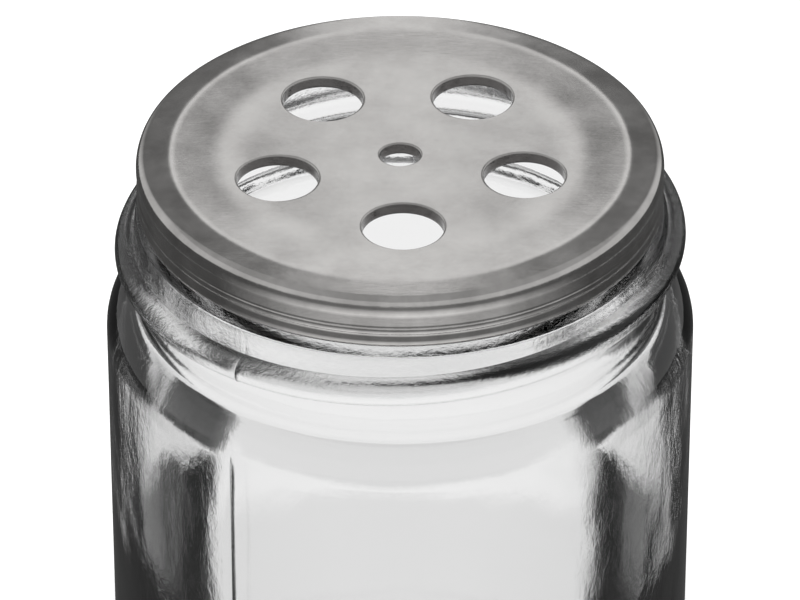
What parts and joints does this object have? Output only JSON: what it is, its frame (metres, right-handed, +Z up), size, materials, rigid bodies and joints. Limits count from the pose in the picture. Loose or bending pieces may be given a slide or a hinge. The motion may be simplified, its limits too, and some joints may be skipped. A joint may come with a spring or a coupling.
{
  "type": "glass spice jar",
  "caption": "Round clear glass spice jar with a shoulder, a transfer ring and a satin steel screw lid with round pour holes.",
  "frame": {"origin": "middle of the jar's base, on the surface that it stands on", "axes": "+Z up along the jar's axis, through the middle of the lid; -Y is the front, where one pour hole faces; +X to the right"},
  "size_m": [0.0668, 0.0668, 0.095],
  "materials": {
    "glass_jar": "clear, fire-polished soda-lime glass",
    "perforated_lid": "satin stainless steel, pressed"
  },
  "bodies": {
    "jar": {"glass_jar": "glass_jar"},
    "lid": {"perforated_lid": "perforated_lid"}
  },
  "joints": [
    {"name": "lid_lift", "type": "slide", "parent": "jar", "child": "lid", "axis": [0, 0, 1], "range_m": [0, 0.04]}
  ]
}
